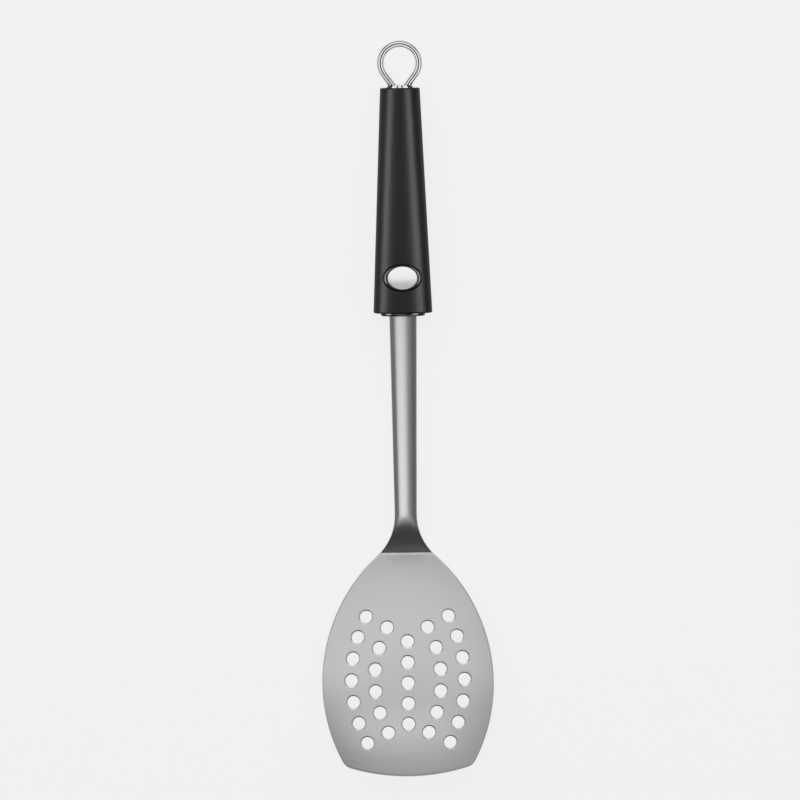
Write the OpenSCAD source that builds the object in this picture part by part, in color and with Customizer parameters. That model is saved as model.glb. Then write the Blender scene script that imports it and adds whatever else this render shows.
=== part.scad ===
// Perforated kitchen turner: a domed stainless blade on an offset shank, with a soft grip and a hanging loop.
// It lies on a table with its badge up. +Y runs towards the loop, +Z is up, and all sizes are millimetres.

/* [Blade] */
// Width of the blade at its widest place
blade_w = 82.5; // [70:0.5:100]
// Length of the blade from heel to tip, seen from above
blade_len = 105.5; // [98:0.5:125]
// Distance from the heel to the widest place
blade_widest_at = 61; // [55:0.5:70]
// Width of the straight heel where the blade meets the shank
heel_w = 25.2; // [18:0.2:34]
// Radius of the curve along the tip
tip_r = 104; // [80:1:130]
// Radius of the two corners at the tip
tip_corner_r = 6.5; // [3:0.5:10]
// Thickness of the blade's sheet
blade_t = 1.4; // [0.8:0.1:2.2]
// Radius of the dome's upper face
dome_r = 190; // [150:1:260]
// Distance from the heel to the dome's highest place
dome_peak_at = 92; // [60:1:100]

/* [Drain holes] */
// Diameter of each drain hole
hole_d = 6.1; // [3:0.1:7]
// Width of the bevel round each hole on the upper face
hole_bevel = 0.5; // [0.2:0.05:0.8]
// Distance from the blade's edge to the outer columns
outer_column_in = 14; // [10:0.1:17]
// Distance from the blade's edge to the inner columns
inner_column_in = 25.3; // [24:0.1:29]
// Distance from the blade's widest place back to the middle of the columns
columns_back = 1.8; // [0:0.1:4]
// Distance from the middle of the side columns to the middle column's middle, towards the tip
middle_ahead = 1.2; // [0:0.1:3]
// Spacing of the holes along the outer and inner columns
column_pitch = 10.4; // [9:0.1:11.5]
// Spacing of the holes along the middle column
middle_pitch = 9.8; // [9:0.1:11.5]
// Number of holes in each outer column
outer_holes = 7; // [1:1:7]
// Number of holes in each inner column
inner_holes = 6; // [1:1:6]
// Number of holes in the middle column
middle_holes = 5; // [1:1:6]

/* [Shank] */
// Length of the neck, from the heel to the narrowest place
neck_len = 20.4; // [16:0.1:30]
// How late the neck flares out towards the heel
flare_power = 2.25; // [1.5:0.05:4]
// Length of the straight stretch, from the narrowest place to the collar
shank_len = 95; // [60:0.2:140]
// Width at the narrowest place
narrow_w = 10.7; // [8:0.1:14]
// Thickness at the narrowest place
narrow_t = 3.8; // [3:0.1:6]
// Width at the collar
shank_w = 13.1; // [11:0.1:16]
// Thickness at the collar
shank_t = 4.6; // [4.2:0.1:7]
// Width of the tang inside the handle
tang_w = 8; // [6:0.1:9]
// Thickness of the tang
tang_t = 2.6; // [2:0.1:2.8]
// Length of the tang
tang_len = 74; // [50:1:78]
// Diameter of the holes that lock the tang in the core
lock_d = 3.6; // [2:0.1:4.5]
// Number of locking holes
lock_holes = 3; // [1:1:4]

/* [Handle] */
// Length of the grip
grip_len = 107.8; // [100:0.2:130]
// Width of the grip at the loop's end
grip_top_w = 19; // [18.5:0.1:24]
// Width of the grip at the blade's end
grip_w = 28.3; // [26:0.1:34]
// Depth of the grip from front to back
grip_d = 18.5; // [17.5:0.1:22]
// Squareness of the grip's section at the blade's end, where 2 is an ellipse
grip_square = 2.5; // [2:0.1:3]
// Edge radius of the grip at the blade's end
grip_edge_r = 0.8; // [0.4:0.1:2]
// Edge radius of the grip at the loop's end
grip_top_edge_r = 0.7; // [0.3:0.1:1.2]
// Thickness of the grip over the core
grip_wall = 3.2; // [2.9:0.1:3.6]
// Thickness of the lips that hold the core in
grip_lip = 3; // [2:0.1:5]
// Width of the collar
collar_w = 21.2; // [18:0.1:23]
// Depth of the collar from front to back
collar_d = 11.4; // [9.5:0.1:12]
// How far the collar stands out of the grip
collar_h = 1.5; // [1.4:0.1:4]
// Edge radius of the collar
collar_edge_r = 0.8; // [0.2:0.1:1.3]
// Gap between the pieces of the handle where they fit together
fit_gap = 0.05; // [0.02:0.01:0.15]

/* [Hanging loop] */
// Diameter of the wire
wire_d = 3.1; // [2:0.1:3.2]
// Radius of the loop at the middle of the wire
loop_r = 9.2; // [8:0.1:10]
// Height of the loop's centre above the plug
loop_rise = 10.45; // [10.2:0.05:14]
// Distance between the legs where they enter the plug
leg_spacing = 7.4; // [6.8:0.1:8]
// Radius of the bend that sets the legs parallel inside the plug
leg_bend_r = 9; // [7:0.1:9.5]
// Length of the parallel ends inside the plug
leg_tail = 8; // [4:0.2:12]
// Diameter of the plug where it leaves the grip
plug_d = 13; // [12.4:0.1:13.6]
// Diameter of the plug's top face
plug_top_d = 11.8; // [11.7:0.1:12.2]
// How far the plug stands out of the grip
plug_h = 1.35; // [0.8:0.05:4]
// Diameter of the plug's spigot inside the core
spigot_d = 9.6; // [9:0.1:10.4]

/* [Badge] */
// Width of the bezel
bezel_w = 18.6; // [17:0.1:19]
// Height of the bezel, along the handle
bezel_h = 12.7; // [12.4:0.1:15]
// Width of the bezel's rim, at the top of its sloping flank
rim_w = 15.2; // [15:0.1:17]
// Height of the bezel's rim, along the handle
rim_h = 11.9; // [11.7:0.1:12.4]
// Height of the bezel's upright foot under the flank
bezel_foot = 0.55; // [0.3:0.05:1]
// Width of the plate in the bezel
plate_w = 14.4; // [11:0.1:14.6]
// Height of the plate, along the handle
plate_h = 11.2; // [9:0.1:11.3]
// Distance from the grip's lower end to the badge's centre
badge_at = 17.1; // [12:0.1:40]
// Depth of the pocket under the grip's front
pocket_depth = 2.1; // [1.9:0.05:2.4]
// How far the bezel stands proud of the grip's front
bezel_proud = 0.3; // [0.1:0.05:0.8]
// How far the plate's crown stands above the bezel
plate_crown = 0.5; // [0.2:0.05:1]
// Radius of the plate's dome
plate_dome_r = 40; // [30:1:80]
// Thickness of the bezel's floor
bezel_floor = 0.5; // [0.3:0.05:0.7]
// Thickness of the adhesive pad
pad_t = 0.4; // [0.2:0.05:0.6]
// Gap round the bezel in its pocket, and round the plate in the bezel
badge_gap = 0.1; // [0.05:0.01:0.3]

/* [Hidden] */

// Smoothness of round edges, lofted sections and the blade's outline
$fn = 96;
section_points = 48;
edge_rings = 4;
taper_rings = 6;
neck_rings = 14;
arc_points = 24;
corner_points = 6;
tube_sides = 16;
dome_facets = 240;
// Extra length of a cut past the face that it opens
over = 1;

// Squareness of the shank's section, and of the flat palm at the heel
shank_square = 2.1;
palm_square = 9;

// Stations along the tool, from the tip to the top of the loop
total_len = blade_len + neck_len + shank_len + collar_h + grip_len + plug_h + loop_rise + loop_r + wire_d / 2;
tip_y = -total_len / 2;
heel_y = tip_y + blade_len;
narrow_y = heel_y + neck_len;
collar_y = narrow_y + shank_len;
grip_y = collar_y + collar_h;
core_y = grip_y + grip_lip;
grip_top_y = grip_y + grip_len;
core_top_y = grip_top_y - grip_lip;
plug_top_y = grip_top_y + plug_h;
loop_y = plug_top_y + loop_rise;
axis_z = grip_d / 2;

// The blade is a piece of a hollow ball. The ball's centre sets the slope at the heel, and its height
// lets the two ends of the heel touch the table with the grip.
widest_y = heel_y - blade_widest_at;
columns_y = widest_y + columns_back;
heel_half = heel_w / 2;
inner_r = dome_r - blade_t;
ball_y = heel_y - dome_peak_at;
ball_z = -sqrt(inner_r ^ 2 - dome_peak_at ^ 2 - heel_half ^ 2);
heel_top_z = ball_z + sqrt(dome_r ^ 2 - dome_peak_at ^ 2);
heel_low_z = ball_z + sqrt(inner_r ^ 2 - dome_peak_at ^ 2);

// Each side of the blade is one arc, upright at the widest place and ending at the heel.
side_in = blade_w / 2 - heel_half;
side_r = (side_in ^ 2 + blade_widest_at ^ 2) / (2 * side_in);
side_c = [blade_w / 2 - side_r, widest_y];
tip_c = [0, tip_y + tip_r];

// The corner's centre lies one corner radius inside both the side arc and the tip arc.
corner_side = side_r - tip_corner_r;
corner_tip = tip_r - tip_corner_r;
centre_gap = norm(tip_c - side_c);
gap_dir = (tip_c - side_c) / centre_gap;
corner_along = (corner_side ^ 2 - corner_tip ^ 2 + centre_gap ^ 2) / (2 * centre_gap);
corner_across = sqrt(corner_side ^ 2 - corner_along ^ 2);
corner_c = side_c + corner_along * gap_dir + corner_across * [gap_dir.y, -gap_dir.x];
heel_turn = asin(blade_widest_at / side_r);
corner_turn = atan2(corner_c.y - side_c.y, corner_c.x - side_c.x);
tip_turn = atan2(corner_c.y - tip_c.y, corner_c.x - tip_c.x);

// The loop's legs are tangent to its ring and lean in to their places in the plug.
leg_half = leg_spacing / 2;
leg_reach = norm([leg_half, loop_rise]);
leg_from = atan2(leg_half, loop_rise) + acos(loop_r / leg_reach);
leg_lean = 90 - leg_from;
tail_half = leg_half - leg_bend_r * (1 - cos(leg_lean));
tail_y = plug_top_y - leg_bend_r * sin(leg_lean);
spigot_end_y = tail_y - leg_tail - wire_d / 2;

// The badge's levels, from the pocket's floor up
front_z = grip_d;
pocket_z = front_z - pocket_depth;
badge_y = grip_y + badge_at;
bezel_top_z = front_z + bezel_proud;
pad_z = pocket_z + bezel_floor;
plate_z = pad_z + pad_t;
plate_top_z = bezel_top_z + plate_crown;

// Points along an arc, from one angle to another
function arc(c, r, from, to, n) =
    [for (i = [0:n]) let (a = from + (to - from) * i / n) c + r * [cos(a), sin(a)]];

// One half of the blade's outline, from the heel's end to the middle of the tip
function half_outline() = concat(
    arc(side_c, side_r, heel_turn, corner_turn, arc_points),
    arc(corner_c, tip_corner_r, corner_turn, tip_turn, corner_points),
    arc(tip_c, tip_r, tip_turn, -90, arc_points));

// A row of points that ends on the middle line, joined to its mirror image
function both_sides(half) = concat(half, [for (i = [len(half) - 2:-1:0]) [-half[i].x, half[i].y]]);

// A power of a number that keeps the number's sign
function signed_pow(v, p) = sign(v) * pow(abs(v), p);

// A rounded section of a given width and depth. Squareness 2 is an ellipse, and more fills the corners.
function oval(w, d, square = 2) =
    [for (i = [0:section_points - 1]) let (a = 360 * i / section_points)
        [w / 2 * signed_pow(cos(a), 2 / square), d / 2 * signed_pow(sin(a), 2 / square)]];

// How far a rounded edge of radius r draws the outline in, at a distance s from the end face
function edge_in(r, s) = r - sqrt(max(0, r ^ 2 - (r - min(s, r)) ^ 2));

// Width and squareness of the grip at a height y along the tool
function grip_share(y) = (y - grip_y) / grip_len;
function grip_w_at(y) = grip_w + (grip_top_w - grip_w) * grip_share(y);
function grip_square_at(y) = grip_square + (2 - grip_square) * grip_share(y);

// The grip's section at a height y, drawn in all round by a distance
function grip_section(y, inset) = oval(grip_w_at(y) - 2 * inset, grip_d - 2 * inset, grip_square_at(y));

// Stations along a rounded edge, crowded towards its end face
function edge_steps(r) = [for (i = [0:edge_rings]) r * (1 - cos(90 * i / edge_rings))];

// Nearness to the heel along the neck, from 0 at the narrowest place to 1 at the heel
function neck_share(y) = max(0, (narrow_y - y) / neck_len);
function smooth(s) = s * s * (3 - 2 * s);
function along_shank(y) = min(1, max(0, (y - narrow_y) / shank_len));

// The shank's section at a height y: an oval bar that flattens into a thin palm bowed like the blade
function shank_section(y) =
    let (s = neck_share(y),
         flat = smooth(s),
         bar_w = narrow_w + (shank_w - narrow_w) * along_shank(y),
         bar_t = narrow_t + (shank_t - narrow_t) * along_shank(y),
         w = bar_w + (heel_w - bar_w) * pow(s, flare_power),
         t = bar_t + (heel_top_z - heel_low_z - bar_t) * flat,
         z = axis_z + ((heel_top_z + heel_low_z) / 2 - axis_z) * s ^ 2)
    [for (p = oval(w, t, shank_square + (palm_square - shank_square) * flat))
        [p.x, z + p.y - flat * bow(p.x)]];

// How far the dome's section at the heel falls away at a distance x from the middle
function bow(x) = sqrt(dome_r ^ 2 - dome_peak_at ^ 2) - sqrt(dome_r ^ 2 - dome_peak_at ^ 2 - x ^ 2);

// Faces of a solid through rows of n points each, numbered from row 0 to the last row, with a cap at each end
function loft_faces(last, n) = concat(
    [for (k = [0:last - 1]) for (i = [0:n - 1]) let (j = (i + 1) % n)
        each [[k * n + i, k * n + j, (k + 1) * n + j], [k * n + i, (k + 1) * n + j, (k + 1) * n + i]]],
    [[for (i = [n - 1:-1:0]) i], [for (i = [0:n - 1]) last * n + i]]);

// A solid through a row of sections, each a list of points across the tool at one station
module loft(stations, sections) {
    last = len(stations) - 1;
    points = [for (k = [0:last]) for (p = sections[k]) [p.x, stations[k], p.y]];
    polyhedron(points, loft_faces(last, len(sections[0])), convexity = 4);
}

// A straight bar of one section between two stations, about the tool's axis
module bar(section, from, to) {
    translate([0, to, axis_z]) rotate([90, 0, 0]) linear_extrude(to - from) polygon(section);
}

// A round rod along the tool's axis between two stations
module rod(d, from, to) {
    translate([0, from, axis_z]) rotate([-90, 0, 0]) cylinder(h = to - from, d = d);
}

// The hollow ball that the blade is cut from
module ball_shell() {
    translate([0, ball_y, ball_z]) difference() {
        sphere(dome_r, $fn = dome_facets);
        sphere(inner_r, $fn = dome_facets);
    }
}

// Puts a shape on an axis from the ball's centre to a place on the dome, seen from above
module square_to_dome(place) {
    dx = place.x;
    dy = place.y - ball_y;
    lean = asin(norm([dx, dy]) / dome_r);
    translate([0, ball_y, ball_z]) rotate([0, lean, atan2(dy, dx)]) children();
}

// Repeats a shape along an arc that runs beside the blade's edge, on one side
module side_column(inset, count, side) {
    r = side_r - inset;
    step = column_pitch / r * 180 / PI;
    for (i = [0:count - 1]) {
        turn = (i - (count - 1) / 2) * step;
        square_to_dome([side * (side_c.x + r * cos(turn)), columns_y + r * sin(turn)]) children();
    }
}

// Repeats a shape at every drain hole
module hole_pattern() {
    for (side = [-1, 1]) {
        side_column(outer_column_in, outer_holes, side) children();
        side_column(inner_column_in, inner_holes, side) children();
    }
    for (i = [0:middle_holes - 1]) {
        along = (i - (middle_holes - 1) / 2) * middle_pitch;
        square_to_dome([0, columns_y - middle_ahead + along]) children();
    }
}

module drain_hole() {
    translate([0, 0, inner_r - over]) cylinder(h = blade_t + 2 * over, d = hole_d);
}

// A cone that bevels a drain hole's upper rim
module hole_rim() {
    bevel_d = hole_d + 2 * hole_bevel;
    translate([0, 0, dome_r - hole_bevel - over])
        cylinder(h = hole_bevel + 2 * over, d1 = hole_d - 2 * over, d2 = bevel_d + 2 * over);
}

module blade() {
    color("silver") difference() {
        intersection() {
            translate([0, 0, -over]) linear_extrude(dome_r + ball_z + 2 * over)
                polygon(both_sides(half_outline()));
            ball_shell();
        }
        hole_pattern() drain_hole();
        hole_pattern() hole_rim();
    }
}

// The tang and its locking holes, grown by a gap on every side for the core's pocket
module tang(gap = 0) {
    lock_pitch = tang_len / (lock_holes + 1);
    difference() {
        translate([-tang_w / 2 - gap, core_y - over, axis_z - tang_t / 2 - gap])
            cube([tang_w + 2 * gap, tang_len + over + gap, tang_t + 2 * gap]);
        for (i = [1:lock_holes])
            translate([0, core_y + i * lock_pitch, axis_z - tang_t / 2 - over])
                cylinder(h = tang_t + 2 * over, d = lock_d - 2 * gap);
    }
}

module shank() {
    neck = [for (i = [0:neck_rings]) heel_y + neck_len * i / neck_rings];
    stations = concat(neck, [collar_y, core_y]);
    color("lightgray") union() {
        loft(stations, [for (y = stations) shank_section(y)]);
        tang();
    }
}

// The core's outside, grown by a gap for the hollow in the grip
module core_form(gap = 0) {
    stations = [for (i = [0:taper_rings]) core_y + (core_top_y - core_y) * i / taper_rings];
    ends = [for (i = [0:taper_rings]) stations[i] + (i == 0 ? -gap : i == taper_rings ? gap : 0)];
    sections = [for (y = stations)
        [for (p = grip_section(y, grip_wall - gap)) [p.x, p.y + axis_z]]];
    loft(ends, sections);
}

module handle_core() {
    color("dimgray") difference() {
        core_form();
        tang(fit_gap);
        rod(spigot_d + 2 * fit_gap, spigot_end_y - fit_gap, core_top_y + over);
    }
}

module grip() {
    low = edge_steps(grip_edge_r);
    high = edge_steps(grip_top_edge_r);
    low_ys = [for (s = low) grip_y + s];
    high_ys = [for (i = [edge_rings:-1:0]) grip_top_y - high[i]];
    from = grip_y + grip_edge_r;
    span = grip_len - grip_edge_r - grip_top_edge_r;
    mid_ys = [for (i = [1:taper_rings - 1]) from + span * i / taper_rings];
    stations = concat(low_ys, mid_ys, high_ys);
    sections = [for (y = stations)
        let (inset = edge_in(grip_edge_r, y - grip_y) + edge_in(grip_top_edge_r, grip_top_y - y))
        [for (p = grip_section(y, inset)) [p.x, p.y + axis_z]]];
    color([0.12, 0.12, 0.12]) difference() {
        loft(stations, sections);
        core_form(fit_gap);
        bar(oval(collar_w + 2 * fit_gap, collar_d + 2 * fit_gap), grip_y - over, core_y + fit_gap);
        rod(plug_d + 2 * fit_gap, core_top_y - fit_gap, grip_top_y + over);
        badge_prism(bezel_w + 2 * badge_gap, bezel_h + 2 * badge_gap, pocket_z, front_z + over);
    }
}

module collar() {
    edge = edge_steps(collar_edge_r);
    stations = concat([for (s = edge) collar_y + s], [core_y - fit_gap]);
    sections = [for (y = stations)
        let (inset = edge_in(collar_edge_r, y - collar_y))
        [for (p = oval(collar_w - 2 * inset, collar_d - 2 * inset)) [p.x, p.y + axis_z]]];
    color([0.05, 0.05, 0.05]) difference() {
        loft(stations, sections);
        bar(oval(shank_w + 2 * fit_gap, shank_t + 2 * fit_gap, shank_square), collar_y - over, core_y + over);
    }
}

// One half of the wire's path: up the end in the plug, round the bend, along the leg and over the ring
function half_wire() = concat(
    [[tail_half, tail_y - leg_tail]],
    arc([tail_half + leg_bend_r, tail_y], leg_bend_r, 180, 180 - leg_lean, corner_points),
    arc([0, loop_y], loop_r, leg_from - 90, 90, arc_points));

// A round tube along a path that lies level with the tool's axis
module tube(path, d) {
    last = len(path) - 1;
    points = [for (k = [0:last])
        let (run = path[min(k + 1, last)] - path[max(k - 1, 0)], side = [run.y, -run.x] / norm(run))
        for (a = [0:360 / tube_sides:359])
            [each path[k] + d / 2 * cos(a) * side, axis_z + d / 2 * sin(a)]];
    polyhedron(points, loft_faces(last, tube_sides), convexity = 4);
}

module wire(d) {
    tube(both_sides(half_wire()), d);
}

module end_plug() {
    color([0.05, 0.05, 0.05]) difference() {
        union() {
            translate([0, grip_top_y, axis_z]) rotate([-90, 0, 0])
                cylinder(h = plug_h, d1 = plug_d, d2 = plug_top_d);
            rod(plug_d, core_top_y + fit_gap, grip_top_y);
            rod(spigot_d, spigot_end_y, grip_top_y);
        }
        wire(wire_d + 2 * fit_gap);
    }
}

module hanging_loop() {
    color("gainsboro") wire(wire_d);
}

// An upright oval prism at the badge's place, between two levels
module badge_prism(w, h, low, high) {
    translate([0, badge_y, low]) linear_extrude(high - low) polygon(oval(w, h));
}

// The bezel's outside: an upright foot, and a flank that slopes in to the rim
module bezel_form() {
    foot = oval(bezel_w, bezel_h);
    translate([0, badge_y, 0]) rotate([90, 0, 0])
        loft([pocket_z, pocket_z + bezel_foot, bezel_top_z], [foot, foot, oval(rim_w, rim_h)]);
}

module badge_bezel() {
    color([0.05, 0.05, 0.05]) difference() {
        bezel_form();
        badge_prism(plate_w + 2 * badge_gap, plate_h + 2 * badge_gap, pad_z, bezel_top_z + over);
    }
}

module badge_plate() {
    color("whitesmoke") intersection() {
        badge_prism(plate_w, plate_h, plate_z, plate_top_z + over);
        translate([0, badge_y, plate_top_z - plate_dome_r]) sphere(plate_dome_r, $fn = dome_facets);
    }
}

module badge_pad() {
    color("ivory") badge_prism(plate_w, plate_h, pad_z, plate_z);
}

blade();
shank();
handle_core();
grip();
collar();
end_plug();
hanging_loop();
badge_bezel();
badge_plate();
badge_pad();
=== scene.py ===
"""Perforated kitchen turner: the visible surfaces, finishes and studio, laid out as a Blender add-on.

The CAD model is loaded as the frame. Each visible node is replaced by a finer surface in the same place,
worked out with numpy, with the rounded edges and lips of pressed sheet, drawn wire and moulded plastic.
"""
import math
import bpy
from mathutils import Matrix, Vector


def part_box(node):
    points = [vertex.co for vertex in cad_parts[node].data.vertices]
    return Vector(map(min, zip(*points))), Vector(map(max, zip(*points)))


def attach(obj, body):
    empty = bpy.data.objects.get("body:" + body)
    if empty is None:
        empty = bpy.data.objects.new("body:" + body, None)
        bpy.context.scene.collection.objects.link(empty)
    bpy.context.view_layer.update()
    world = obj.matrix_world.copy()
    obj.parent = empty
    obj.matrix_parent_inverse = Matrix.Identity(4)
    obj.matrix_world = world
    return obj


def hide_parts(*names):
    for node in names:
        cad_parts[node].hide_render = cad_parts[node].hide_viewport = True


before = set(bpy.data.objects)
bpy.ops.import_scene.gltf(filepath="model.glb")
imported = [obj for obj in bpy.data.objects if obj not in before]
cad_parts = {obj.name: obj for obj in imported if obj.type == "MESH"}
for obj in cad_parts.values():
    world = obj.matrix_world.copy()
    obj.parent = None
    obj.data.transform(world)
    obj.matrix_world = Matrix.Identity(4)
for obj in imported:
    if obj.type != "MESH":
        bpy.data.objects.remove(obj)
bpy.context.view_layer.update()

from types import SimpleNamespace

import bmesh
import bpy
import numpy as np
from bpy.props import FloatProperty, FloatVectorProperty, IntProperty, PointerProperty
from bpy.types import Operator, Panel, PropertyGroup
from mathutils import Matrix, Vector
from mathutils.geometry import delaunay_2d_cdt

bl_info = {
    "name": "Perforated Turner",
    "version": (1, 0, 0),
    "blender": (4, 5, 0),
    "location": "3D View > Sidebar > Turner",
    "description": "Builds a perforated kitchen turner over its CAD frame, with finishes and a studio",
    "category": "Add Mesh",
}

MM = 0.001
BODY = "root"
PREFIX = "turner_"

# Corners of the CAD nodes, and stations along the tool
BLADE_LOW, BLADE_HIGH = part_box("blade")
SHANK_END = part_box("shank")[1].y
GRIP_LOW, GRIP_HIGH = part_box("grip")
CORE_LOW, CORE_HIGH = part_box("handle_core")
COLLAR_LOW, COLLAR_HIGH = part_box("collar")
PLUG_LOW, PLUG_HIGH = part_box("end_plug")
LOOP_LOW, LOOP_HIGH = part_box("hanging_loop")
BEZEL_LOW, BEZEL_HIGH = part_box("badge_bezel")
PLATE_LOW, PLATE_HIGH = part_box("badge_plate")
TIP_Y = BLADE_LOW.y
HEEL_Y = BLADE_HIGH.y
AXIS_Z = (LOOP_LOW.z + LOOP_HIGH.z) / 2
BADGE_Y = (BEZEL_LOW.y + BEZEL_HIGH.y) / 2
GRIP_DEPTH = GRIP_HIGH.z - GRIP_LOW.z
COLLAR_WIDTH, COLLAR_DEPTH = 2.0 * COLLAR_HIGH.x, COLLAR_HIGH.z - COLLAR_LOW.z
BEZEL_WIDTH, BEZEL_HEIGHT = 2.0 * BEZEL_HIGH.x, BEZEL_HIGH.y - BEZEL_LOW.y
PLATE_WIDTH, PLATE_HEIGHT = 2.0 * PLATE_HIGH.x, PLATE_HIGH.y - PLATE_LOW.y

# Squareness of an ellipse
ELLIPSE = 2.0
# Mode of the Delaunay routine that keeps what the edges enclose, and its tolerance in millimetres
INSIDE, NEAR = 1, 1e-6
# Steps along each side, corner and half of the tip of the blade's outline, and along its heel
SIDE_STEPS, CORNER_STEPS, TIP_STEPS, HEEL_STEPS = 96, 16, 40, 25
# Steps round one turn of each ring
HOLE_TURN, SHANK_TURN, LOCK_TURN, GRIP_TURN = 64, 160, 32, 176
COLLAR_TURN, PLUG_TURN, WIRE_TURN, BADGE_TURN, POCKET_TURN = 144, 96, 32, 144, 160
# Steps round each rounded edge
EDGE_ROUND, BEVEL_ROUND, LIP_ROUND, TANG_ROUND = 7, 3, 4, 3
LOW_ROUND, TOP_ROUND, MOUTH_ROUND, POCKET_ROUND = 8, 6, 3, 5
COLLAR_ROUND, PLUG_ROUND, RIM_ROUND, PLATE_ROUND = 7, 8, 4, 6
# Width of the level row beside a rounded edge, which keeps the shading of the flat next to it even
BLADE_SUPPORT, GRIP_SUPPORT, COLLAR_SUPPORT = 0.25 * MM, 0.35 * MM, 0.2 * MM
# Net of free points in the blade's faces: pitch, row height as a share of it, and room at edges and holes
NET_PITCH, NET_RISE, NET_ROOM = 2.1 * MM, 0.866, 0.8 * MM
NET_ROWS, NET_COLUMNS = 64, 24
# Rows of free points in the weld, as shares of its width, and points in each of them
WELD_ROWS, WELD_POINTS = np.array([0.12, 0.28, 0.48, 0.72, 1.0]), 41
# Keeps a hole at the dome's very peak from having no direction round its axis
NUDGE = 1e-9
# Rows along the shank: in the weld, in the neck, along the bar and inside the collar
WELD_STEPS, NECK_STEPS, BAR_STEPS, INSIDE_ROWS = 8, 72, 48, 4
# How far the tang reaches back into the bar
TANG_OVERLAP = 0.5 * MM
# Rows along the grip and along its hollow
GRIP_ROWS, HOLLOW_ROWS = 58, 8
# Patch of the grip round the badge: room along the tool, and share of a turn left on each side
PATCH_ROOM, PATCH_SIDE = 2.4 * MM, 0.092
# Room between the badge's pocket and the free points round it, and between its floor and the bezel
POCKET_ROOM, POCKET_GAP = 0.7 * MM, 0.02 * MM
# Chamfer of the collar's bore: its width, counted on both sides, and its depth
BORE_CHAMFER, BORE_DEPTH = 0.3 * MM, 0.15 * MM
# Rings of the plug's flat top, as shares of its radius
PLUG_RINGS = np.array([0.94, 0.7, 0.4, 0.12])
# Steps along the wire: tail, bend, leg and half of the ring
TAIL_STEPS, BEND_STEPS, LEG_STEPS, RING_STEPS = 6, 16, 8, 90
# Bezel's flank: rows, and the turn of its ellipse
FLANK_ROWS, FLANK_TURN = 14, 0.46 * math.pi
# Rings of the plate's dome, and the innermost one as a share of its size
DOME_RINGS, DOME_INNER = 22, 0.02
# Angles past which an edge is shaded as sharp
SHARP, BEZEL_SHARP = math.radians(50.0), math.radians(35.0)


def size(label, text, mm):
    """A length property whose default is written in millimetres."""
    return FloatProperty(name=label, description=text, default=mm * MM, min=0.0, unit="LENGTH", precision=5)


def share(label, text, value, high=1.0):
    """A plain number property."""
    return FloatProperty(name=label, description=text, default=value, min=0.0, max=high)


def number(label, text, value):
    """A count property."""
    return IntProperty(name=label, description=text, default=value, min=1)


def lean(label, text, degrees):
    """An angle property whose default is written in degrees."""
    return FloatProperty(name=label, description=text, default=math.radians(degrees), subtype="ANGLE")


def tint(label, text, grey, warm=0.0):
    """A colour property near a grey, a little warmer or cooler."""
    return FloatVectorProperty(name=label, description=text, subtype="COLOR", size=3, min=0.0, max=1.0,
                               default=(grey + warm, grey, grey - warm))


class BladeSettings(PropertyGroup):
    """Sizes of the domed blade and its drain holes."""
    width: size("Width", "Width at the widest place", 82.5)
    widest_at: size("Widest at", "Distance from the heel to the widest place", 61)
    heel_width: size("Heel width", "Width of the straight heel", 25.2)
    tip_radius: size("Tip radius", "Radius of the curve along the tip", 104)
    corner_radius: size("Corner radius", "Radius of the two corners at the tip", 6.5)
    thickness: size("Thickness", "Thickness of the sheet", 1.4)
    dome_radius: size("Dome radius", "Radius of the upper face", 190)
    dome_peak_at: size("Dome peak at", "Distance from the heel to the dome's highest place", 92)
    edge_radius: size("Edge radius", "Rounding of the sheet's cut edge", 0.42)
    tip_bevel: size("Tip bevel", "Width of the ground bevel along the tip", 0.7)
    tip_angle: lean("Tip angle", "Slope of the ground bevel along the tip", 50)
    weld_rise: size("Weld rise", "How far the smoothed weld fills the crease at the heel", 0.28)
    weld_width: size("Weld width", "How far the smoothed weld reaches over the blade", 1.0)
    hole_diameter: size("Hole diameter", "Diameter of each drain hole", 6.1)
    hole_bevel: size("Hole bevel", "Width of the bevel round each hole on the upper face", 0.5)
    hole_angle: lean("Hole angle", "Slope of the bevel round each hole", 32)
    bevel_edge: size("Bevel edge", "Rounding of the two edges of a bevel", 0.3)
    hole_lip: size("Hole lip", "Rounding of each hole's lower rim", 0.2)
    outer_column_in: size("Outer column in", "Distance from the edge to the outer columns", 14.0)
    inner_column_in: size("Inner column in", "Distance from the edge to the inner columns", 25.3)
    columns_back: size("Columns back", "Distance from the widest place back to the columns' middle", 1.8)
    middle_ahead: size("Middle ahead", "How much nearer the tip the middle column lies", 1.2)
    column_pitch: size("Column pitch", "Spacing of the holes along the side columns", 10.4)
    middle_pitch: size("Middle pitch", "Spacing of the holes along the middle column", 9.8)
    outer_holes: number("Outer holes", "Holes in each outer column", 7)
    inner_holes: number("Inner holes", "Holes in each inner column", 6)
    middle_holes: number("Middle holes", "Holes in the middle column", 5)


class ShankSettings(PropertyGroup):
    """Sizes of the shank, its neck and its tang."""
    weld_width: size("Weld width", "How far the smoothed weld reaches over the palm", 0.67)
    neck_length: size("Neck length", "From the heel to the narrowest place", 20.4)
    flare_power: share("Flare power", "How late the neck flares out", 2.25, 6.0)
    narrow_width: size("Narrow width", "Width at the narrowest place", 10.7)
    narrow_thickness: size("Narrow thickness", "Thickness at the narrowest place", 3.8)
    width: size("Width", "Width at the collar", 13.1)
    thickness: size("Thickness", "Thickness at the collar", 4.6)
    squareness: share("Squareness", "Squareness of the bar, where 2 is an ellipse", 2.1, 12.0)
    palm_squareness: share("Palm squareness", "Squareness of the flat palm at the heel", 9.0, 12.0)
    tang_width: size("Tang width", "Width of the tang", 8)
    tang_thickness: size("Tang thickness", "Thickness of the tang", 2.6)
    tang_edge: size("Tang edge", "Rounding of the tang's edges", 0.2)
    lock_diameter: size("Lock diameter", "Diameter of the tang's locking holes", 3.6)
    lock_holes: number("Lock holes", "Number of locking holes", 3)


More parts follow.
